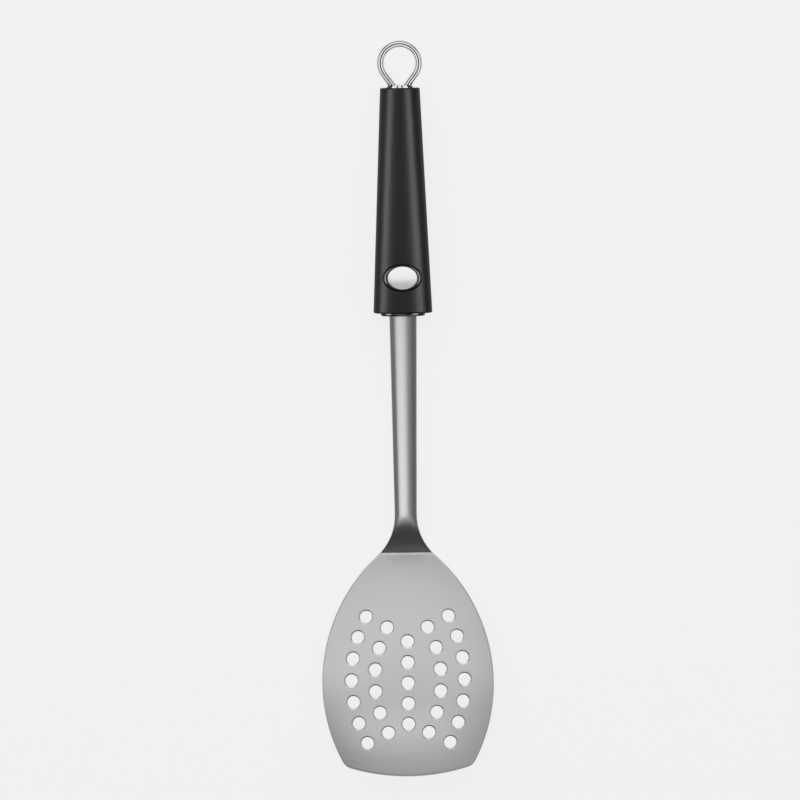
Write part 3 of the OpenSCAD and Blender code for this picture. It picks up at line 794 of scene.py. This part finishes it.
def make_bezel(badge, finish):
    """An oval dish: an upright foot, a convex flank up to a narrow rim, and a well for the plate.

    The flank is nearly a quarter of an ellipse: it draws in with one less the cosine and rises with the sine.
    """
    turn = np.linspace(0.0, FLANK_TURN, FLANK_ROWS)
    drawn, drop = quarter(badge.rim_edge, RIM_ROUND)

    def rows(foot, rim, well):
        """Sizes of the rows, from the foot up the flank, over the rim and down into the well."""
        flank = foot + (rim - foot) * (1.0 - np.cos(turn))
        return np.concatenate([[foot], flank, rim - 2.0 * drawn[::-1], well + 2.0 * drawn, [well]])

    width = rows(BEZEL_WIDTH, badge.rim_width, PLATE_WIDTH + 2.0 * badge.gap)
    height = rows(BEZEL_HEIGHT, badge.rim_height, PLATE_HEIGHT + 2.0 * badge.gap)
    shoulder = BEZEL_LOW.z + badge.shoulder
    slope = shoulder + (BEZEL_HIGH.z - badge.rim_edge - shoulder) * np.sin(turn)
    level = np.concatenate([[BEZEL_LOW.z], slope, BEZEL_HIGH.z - drop[::-1], BEZEL_HIGH.z - drop,
                            [BEZEL_LOW.z + badge.floor]])
    shell = Shell()
    shell.loft(flat_ovals(width, height, level))
    shell.piece("badge_bezel", finish, BEZEL_SHARP)


def make_plate(badge, finish):
    """A blank oval plate: an upright edge, a rounded rim and a shallow dome cut from a ball."""
    drawn, drop = quarter(badge.plate_edge, PLATE_ROUND)
    part = np.linspace(1.0, DOME_INNER, DOME_RINGS)[1:]
    width, height = (
        np.concatenate([[full], full - 2.0 * drawn[::-1], (full - 2.0 * badge.plate_edge) * part])
        for full in (PLATE_WIDTH, PLATE_HEIGHT))
    rows = flat_ovals(width, height, np.concatenate([[0.0], drop[::-1], 0.0 * part]))
    spread = rows[..., 0] ** 2 + (rows[..., 1] - BADGE_Y) ** 2
    rows[..., 2] = PLATE_HIGH.z - badge.plate_dome + np.sqrt(badge.plate_dome ** 2 - spread) - rows[..., 2]
    rows[0, :, 2] = PLATE_LOW.z
    shell = Shell()
    shell.loft(rows)
    shell.piece("badge_plate", finish)


class Value:
    """A number in a shader. Arithmetic on it adds Math nodes."""

    def __init__(self, nodes, socket):
        self.nodes = nodes
        self.socket = socket

    def _math(self, operation, first, second):
        """A Math node on two numbers, of which at least one is a value."""
        return self.nodes.add("ShaderNodeMath", {"operation": operation}, {0: first, 1: second})

    def __add__(self, other):
        return self._math("ADD", self, other)

    def __radd__(self, other):
        return self._math("ADD", other, self)

    def __mul__(self, other):
        return self._math("MULTIPLY", self, other)

    def __rmul__(self, other):
        return self._math("MULTIPLY", other, self)


class Nodes:
    """The nodes of one material or of the world."""

    def __init__(self, owner):
        owner.use_nodes = True
        self.owner = owner
        self.tree = owner.node_tree
        self.tree.nodes.clear()

    def add(self, kind, settings=None, sockets=None, out=0):
        """Adds a node: its settings first, then the values or links of its sockets. Returns one output."""
        made = self.tree.nodes.new(kind)
        for name, value in (settings or {}).items():
            setattr(made, name, value)
        for name, value in (sockets or {}).items():
            if isinstance(value, Value):
                self.tree.links.new(value.socket, made.inputs[name])
            else:
                made.inputs[name].default_value = value
        return Value(self, made.outputs[out]) if made.outputs else None

    def noise(self, scale, detail=2.0, roughness=0.5):
        """A noise between 0 and 1 on object coordinates, with one scale or one for each direction."""
        point = self.add("ShaderNodeTexCoord", out="Object")
        scaled = self.add("ShaderNodeMapping", {}, {"Vector": point, "Scale": np.broadcast_to(scale, 3)})
        return self.add("ShaderNodeTexNoise", {}, {"Vector": scaled, "Scale": 1.0, "Detail": detail,
                                                   "Roughness": roughness})

    def shades(self, factor, tone, dark, light):
        """A colour between a darker and a lighter shade of a tone, both given as shares of it."""
        return self.add("ShaderNodeMix", {"data_type": "RGBA"},
                        {0: factor, 6: colour(tone, dark), 7: colour(tone, light)}, out=2)

    def bump(self, height, strength, distance):
        """A normal disturbed by a height."""
        return self.add("ShaderNodeBump", {}, {"Height": height, "Strength": strength, "Distance": distance},
                        out="Normal")

    def ray(self, kind):
        """1 for rays of one kind and 0 for all others."""
        return self.add("ShaderNodeLightPath", out=f"Is {kind} Ray")

    def shine(self, kind, tone, strength):
        """A shader that gives off light of one tone."""
        return self.add(kind, {}, {"Color": colour(tone), "Strength": strength})

    def surface(self, kind, sockets, output="ShaderNodeOutputMaterial"):
        """Links a shader to the output and returns the material or the world."""
        self.add(output, {}, {"Surface": self.add(kind, {}, sockets)})
        return self.owner


def colour(tone, level=1.0):
    """A four-part colour from a colour property, made lighter or darker."""
    return (*[min(1.0, part * level) for part in tone], 1.0)


def brushed_steel(name, tone, rough, brush, depth):
    """Satin steel: fine brush lines drawn along one direction, with broad, faint changes of polish."""
    nodes = Nodes(bpy.data.materials.new(name))
    lines = nodes.noise(brush, detail=3.0, roughness=0.6)
    cloud = nodes.noise(38.0)
    return nodes.surface("ShaderNodeBsdfPrincipled", {
        "Base Color": nodes.shades(0.65 * lines + 0.35 * cloud, tone, dark=0.93, light=1.06),
        "Metallic": 1.0,
        "Roughness": rough - 0.05 + 0.07 * lines + 0.04 * cloud,
        "Normal": nodes.bump(lines, depth, 0.02 * MM)})


def polished_metal(name, tone, rough):
    """Polished metal with faint handling marks."""
    nodes = Nodes(bpy.data.materials.new(name))
    marks = nodes.noise(420.0, detail=4.0, roughness=0.6)
    return nodes.surface("ShaderNodeBsdfPrincipled", {
        "Base Color": nodes.shades(marks, tone, dark=0.96, light=1.03),
        "Metallic": 1.0,
        "Roughness": rough + 0.06 * marks})


def soft_black(name, tone, rough, index):
    """Soft-touch black moulding: a fine stipple, and slightly uneven sheen."""
    nodes = Nodes(bpy.data.materials.new(name))
    grain = nodes.noise(5200.0)
    cloud = nodes.noise(120.0, detail=3.0)
    return nodes.surface("ShaderNodeBsdfPrincipled", {
        "Base Color": nodes.shades(cloud, tone, dark=0.8, light=1.25),
        "Roughness": rough + 0.05 * cloud + 0.03 * grain,
        "IOR": index,
        "Normal": nodes.bump(grain, 0.12, 0.03 * MM)})


def gloss_black(name, tone, rough):
    """Glossy black plastic with a faint moulded unevenness."""
    nodes = Nodes(bpy.data.materials.new(name))
    cloud = nodes.noise(260.0)
    return nodes.surface("ShaderNodeBsdfPrincipled", {
        "Base Color": nodes.shades(cloud, tone, dark=0.8, light=1.2),
        "Roughness": rough + 0.05 * cloud,
        "IOR": 1.5})


def pad_foam(name, tone):
    """Matte adhesive foam with small cells."""
    nodes = Nodes(bpy.data.materials.new(name))
    cells = nodes.noise(3000.0)
    return nodes.surface("ShaderNodeBsdfPrincipled", {
        "Base Color": nodes.shades(cells, tone, dark=0.85, light=1.1),
        "Roughness": 0.8 + 0.1 * cells})


def finish_node(name, finish):
    """Gives a CAD node that stays a finish of its own."""
    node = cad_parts[name]
    node.data.materials.clear()
    node.data.materials.append(finish)


class TURNER_OT_blade(Operator):
    """Build the domed, perforated blade"""
    bl_idname = "turner.blade"
    bl_label = "Blade"

    def execute(self, context):
        scene = context.scene
        steel = brushed_steel("blade satin steel", scene.turner_finish.blade, rough=0.33,
                              brush=(9000.0, 160.0, 900.0), depth=0.2)
        make_blade(scene.turner_blade, steel)
        return {"FINISHED"}


class TURNER_OT_shank(Operator):
    """Build the shank with its neck and tang"""
    bl_idname = "turner.shank"
    bl_label = "Shank"

    def execute(self, context):
        scene = context.scene
        steel = brushed_steel("shank satin steel", scene.turner_finish.shank, rough=0.29,
                              brush=(9000.0, 120.0, 9000.0), depth=0.15)
        make_shank(scene.turner_shank, scene.turner_blade, steel)
        return {"FINISHED"}


class TURNER_OT_handle(Operator):
    """Build the grip, the collar and the end plug, and finish the core under them"""
    bl_idname = "turner.handle"
    bl_label = "Handle"

    def execute(self, context):
        scene = context.scene
        tones = scene.turner_finish
        soft = soft_black("soft grip black", tones.grip, rough=0.36, index=1.3)
        hard = gloss_black("hard gloss black", tones.hard, rough=0.14)
        make_grip(scene.turner_handle, scene.turner_badge, soft)
        make_collar(scene.turner_handle, scene.turner_shank, hard)
        make_end_plug(scene.turner_handle, hard)
        finish_node("handle_core", soft_black("core black", tones.hard, rough=0.5, index=1.45))
        return {"FINISHED"}


class TURNER_OT_loop(Operator):
    """Build the wire hanging loop"""
    bl_idname = "turner.loop"
    bl_label = "Hanging loop"

    def execute(self, context):
        scene = context.scene
        wire = polished_metal("polished wire", scene.turner_finish.wire, rough=0.1)
        make_hanging_loop(scene.turner_loop, wire)
        return {"FINISHED"}


class TURNER_OT_badge(Operator):
    """Build the blank oval badge's bezel and plate, and finish its pad"""
    bl_idname = "turner.badge"
    bl_label = "Badge"

    def execute(self, context):
        scene = context.scene
        tones = scene.turner_finish
        make_bezel(scene.turner_badge, gloss_black("bezel gloss black", tones.hard, rough=0.12))
        make_plate(scene.turner_badge, polished_metal("bright plate", tones.plate, rough=0.2))
        finish_node("badge_pad", pad_foam("adhesive pad", tones.pad))
        return {"FINISHED"}


def softbox(name, lit, aim, leans, distance, spread, level, matte):
    """A rectangular lamp that faces a point, for a collection of pieces.

    It stands over the point, leaning across and along the tool by two angles in degrees, and its sides are
    given in the same order. A level of 1 is the brightness of white. Without matte it lights only gloss.
    """
    lamp = bpy.data.lights.new(name, "AREA")
    lamp.shape = "RECTANGLE"
    lamp.size, lamp.size_y = spread
    lamp.energy = math.pi * math.prod(spread) * level
    made = bpy.data.objects.new(name, lamp)
    back = Vector((*np.tan(np.radians(leans)), 1.0)).normalized()
    right = Vector((0.0, 1.0, 0.0)).cross(back).normalized()
    turn = Matrix((right, back.cross(right), back)).transposed()
    made.matrix_world = Matrix.Translation(Vector(aim) + back * distance) @ turn.to_4x4()
    made.visible_camera = False
    made.visible_diffuse = matte
    made.light_linking.receiver_collection = lit
    bpy.context.scene.collection.objects.link(made)


def gathered(name, nodes, state):
    """A collection of the pieces of some nodes, for lamps that light only these, or all but these."""
    made = bpy.data.collections.new(name)
    for node in nodes:
        made.objects.link(bpy.data.objects[PREFIX + node])
    for item in made.collection_objects:
        item.light_linking.link_state = state
    return made


# Pieces that each group of lamps lights: only these, or all but these
LIT = {
    "the main lamps": ("EXCLUDE", ("hanging_loop", "blade")),
    "the overhead": ("EXCLUDE", ("hanging_loop", "blade", "shank", "badge_plate")),
    "the front fill": ("EXCLUDE", ("hanging_loop", "blade", "shank")),
    "the shank lamps": ("INCLUDE", ("shank",)),
    "the blade lamps": ("INCLUDE", ("blade",)),
    "the walls": ("INCLUDE", ("blade", "badge_plate")),
    "the plate lamp": ("INCLUDE", ("badge_plate",)),
    "the strips": ("INCLUDE", ("grip", "collar", "end_plug", "badge_bezel")),
    "the end strips": ("INCLUDE", ("collar", "end_plug")),
    "the tent": ("INCLUDE", ("hanging_loop",)),
}
# Groups whose lamps show only in gloss
GLOSS_ONLY = ("the strips", "the end strips")
# Points that lamps face
GRIP_Y = (GRIP_LOW.y + GRIP_HIGH.y) / 2.0
MIDDLE = (0.0, 0.0, 0.0)
LEFT_FLANK, RIGHT_FLANK = (-7 * MM, GRIP_Y, 17 * MM), (6 * MM, GRIP_Y, 17 * MM)
TOP_END, LOW_END = (0.0, PLUG_HIGH.y, PLUG_HIGH.z), (0.0, GRIP_LOW.y, 14 * MM)
LOOP = (0.0, (GRIP_HIGH.y + LOOP_HIGH.y) / 2.0, AXIS_Z)
# Lamps: name, group, point faced, leans across and along in degrees, distance, sides, level
LAMPS = (
    ("back key", "the main lamps", MIDDLE, (-4, 30), 2.4, (3.2, 2.3), 0.88),
    ("back fill", "the main lamps", MIDDLE, (0, 79), 2.4, (3.2, 1.3), 1.35),
    ("overhead", "the overhead", MIDDLE, (-10.5, -5.5), 2.6, (1.55, 0.34), 2.1),
    ("front fill", "the front fill", MIDDLE, (8, -23), 2.4, (2.5, 1.15), 0.42),
    ("shank overhead", "the shank lamps", MIDDLE, (-10.5, -6.8), 2.6, (1.55, 0.46), 1.95),
    ("shank low fill", "the shank lamps", MIDDLE, (-5, -17), 2.6, (0.75, 0.5), 0.85),
    ("shank fill", "the shank lamps", MIDDLE, (4, -21), 2.4, (2.5, 1.25), 0.3),
    ("blade back key", "the blade lamps", MIDDLE, (-4, 27), 2.4, (3.2, 2.0), 0.88),
    ("blade back fill", "the blade lamps", MIDDLE, (0, 78), 2.4, (3.2, 1.3), 2.1),
    ("blade overhead", "the blade lamps", MIDDLE, (-2.5, -5.5), 2.6, (1.9, 0.34), 1.85),
    ("blade front fill", "the blade lamps", MIDDLE, (8, -23), 2.4, (2.5, 1.15), 0.42),
    ("right blade fill", "the blade lamps", MIDDLE, (27, 5), 2.4, (1.1, 0.9), 0.3),
    ("left blade fill", "the blade lamps", MIDDLE, (-25, 8), 2.4, (0.8, 0.5), 0.45),
    ("left wall", "the walls", MIDDLE, (-63, 0), 2.4, (1.6, 3.0), 0.6),
    ("right wall", "the walls", MIDDLE, (63, 0), 2.4, (1.6, 3.0), 0.6),
    ("plate lamp", "the plate lamp", MIDDLE, (0, -1.2), 2.4, (2.6, 0.47), 0.92),
    ("left fill", "the main lamps", MIDDLE, (-60, 0), 2.4, (1.6, 3.0), 0.2),
    ("right fill", "the main lamps", MIDDLE, (60, 0), 2.4, (1.6, 3.0), 0.18),
    ("left strip", "the strips", LEFT_FLANK, (-54, 0), 0.08, (0.041, 0.16), 9.2),
    ("right strip", "the strips", RIGHT_FLANK, (43, 0), 0.08, (0.039, 0.16), 9.2),
    ("left end strip", "the end strips", TOP_END, (-61, 69), 0.06, (0.045, 0.07), 20.0),
    ("middle end strip", "the end strips", TOP_END, (0, 58), 0.06, (0.028, 0.07), 20.0),
    ("right end strip", "the end strips", TOP_END, (61, 69), 0.06, (0.045, 0.07), 20.0),
    ("low end strip", "the end strips", LOW_END, (10, -62), 0.06, (0.05, 0.05), 2.0),
    ("left tent", "the tent", LOOP, (-46, 0), 0.5, (0.5, 0.6), 1.0),
    ("right tent", "the tent", LOOP, (46, 0), 0.5, (0.5, 0.6), 1.0),
    ("back tent", "the tent", LOOP, (0, 46), 0.5, (0.6, 0.5), 1.0),
    ("front tent", "the tent", LOOP, (0, -46), 0.5, (0.6, 0.5), 1.0),
)
# Half of the floor's side, and the gap between the floor and the tool
FLOOR_REACH, FLOOR_GAP = 6.0, 0.1 * MM


class TURNER_OT_stage(Operator):
    """Build the floor, the lights and the camera"""
    bl_idname = "turner.stage"
    bl_label = "Stage"

    def execute(self, context):
        scene = context.scene
        stage = scene.turner_stage
        scene.view_settings.view_transform = "Standard"
        self.floor(scene, stage)
        self.world(scene, stage)
        self.lamps()
        self.camera(scene, stage)
        return {"FINISHED"}

    def floor(self, scene, stage):
        """A pale floor that glows: most for the camera, less in gloss and through glass."""
        nodes = Nodes(bpy.data.materials.new("pale floor"))
        glow = 0.8 * nodes.ray("Camera") + 0.4 * (nodes.ray("Glossy") + nodes.ray("Transmission"))
        matte = nodes.add("ShaderNodeBsdfDiffuse", {}, {"Color": colour(stage.floor)})
        bright = nodes.shine("ShaderNodeEmission", stage.floor, stage.floor_glow)
        corners = FLOOR_REACH * np.array([(-1, -1), (1, -1), (1, 1), (-1, 1)])
        mesh = bpy.data.meshes.new("floor")
        mesh.from_pydata(raised(corners, -FLOOR_GAP).tolist(), [], [(0, 1, 2, 3)])
        mesh.materials.append(nodes.surface("ShaderNodeMixShader", {0: glow, 1: matte, 2: bright}))
        made = bpy.data.objects.new("floor", mesh)
        scene.collection.objects.link(made)

    def world(self, scene, stage):
        """A dim light from all round, which the camera sees as the floor's colour."""
        scene.world = bpy.data.worlds.new("studio")
        nodes = Nodes(scene.world)
        pale = nodes.shine("ShaderNodeBackground", stage.floor, stage.backdrop)
        dim = nodes.shine("ShaderNodeBackground", (1.0, 1.0, 1.0), stage.ambient)
        nodes.surface("ShaderNodeMixShader", {0: nodes.ray("Camera"), 1: dim, 2: pale},
                      output="ShaderNodeOutputWorld")

    def lamps(self):
        """The lamps of the table, with the pieces that each of them lights."""
        groups = {name: gathered(f"lit by {name}", nodes, state) for name, (state, nodes) in LIT.items()}
        for name, group, aim, leans, distance, spread, level in LAMPS:
            softbox(name, groups[group], aim, leans, distance, spread, level, group not in GLOSS_ONLY)

    def camera(self, scene, stage):
        """A camera over the tool, leaning towards the loop and rolled."""
        lens = bpy.data.cameras.new("camera")
        lens.lens = lens.sensor_width * stage.distance / stage.view_width
        made = bpy.data.objects.new("camera", lens)
        turn = Matrix.Rotation(-stage.pitch, 4, "X") @ Matrix.Rotation(-stage.roll, 4, "Z")
        back = Matrix.Translation((0.0, 0.0, stage.distance))
        made.matrix_world = Matrix.Translation(stage.aim) @ turn @ back
        scene.collection.objects.link(made)
        scene.camera = made


class TURNER_PT_panel(Panel):
    """Lists the steps that build the turner"""
    bl_idname = "TURNER_PT_panel"
    bl_label = "Perforated Turner"
    bl_space_type = "VIEW_3D"
    bl_region_type = "UI"
    bl_category = "Turner"

    def draw(self, context):
        for step in STEPS:
            self.layout.operator(step.bl_idname)
        for name, kind in SETTINGS.items():
            box = self.layout.box()
            box.label(text=kind.__doc__)
            for item in kind.__annotations__:
                box.prop(getattr(context.scene, name), item)


SETTINGS = {
    "turner_blade": BladeSettings,
    "turner_shank": ShankSettings,
    "turner_handle": HandleSettings,
    "turner_loop": LoopSettings,
    "turner_badge": BadgeSettings,
    "turner_finish": FinishSettings,
    "turner_stage": StageSettings,
}
STEPS = (TURNER_OT_blade, TURNER_OT_shank, TURNER_OT_handle, TURNER_OT_loop, TURNER_OT_badge, TURNER_OT_stage)


def register():
    """Registers the classes and gives every scene its settings."""
    for kind in (*SETTINGS.values(), *STEPS, TURNER_PT_panel):
        bpy.utils.register_class(kind)
    for name, kind in SETTINGS.items():
        setattr(bpy.types.Scene, name, PointerProperty(type=kind))


def unregister():
    """Undoes what register does, in the opposite order."""
    for name in SETTINGS:
        delattr(bpy.types.Scene, name)
    for kind in (TURNER_PT_panel, *reversed(STEPS), *reversed(SETTINGS.values())):
        bpy.utils.unregister_class(kind)


def main():
    """Registers the add-on and runs its steps in order."""
    register()
    bpy.ops.turner.blade()
    bpy.ops.turner.shank()
    bpy.ops.turner.handle()
    bpy.ops.turner.loop()
    bpy.ops.turner.badge()
    bpy.ops.turner.stage()


if __name__ == "__main__":
    main()
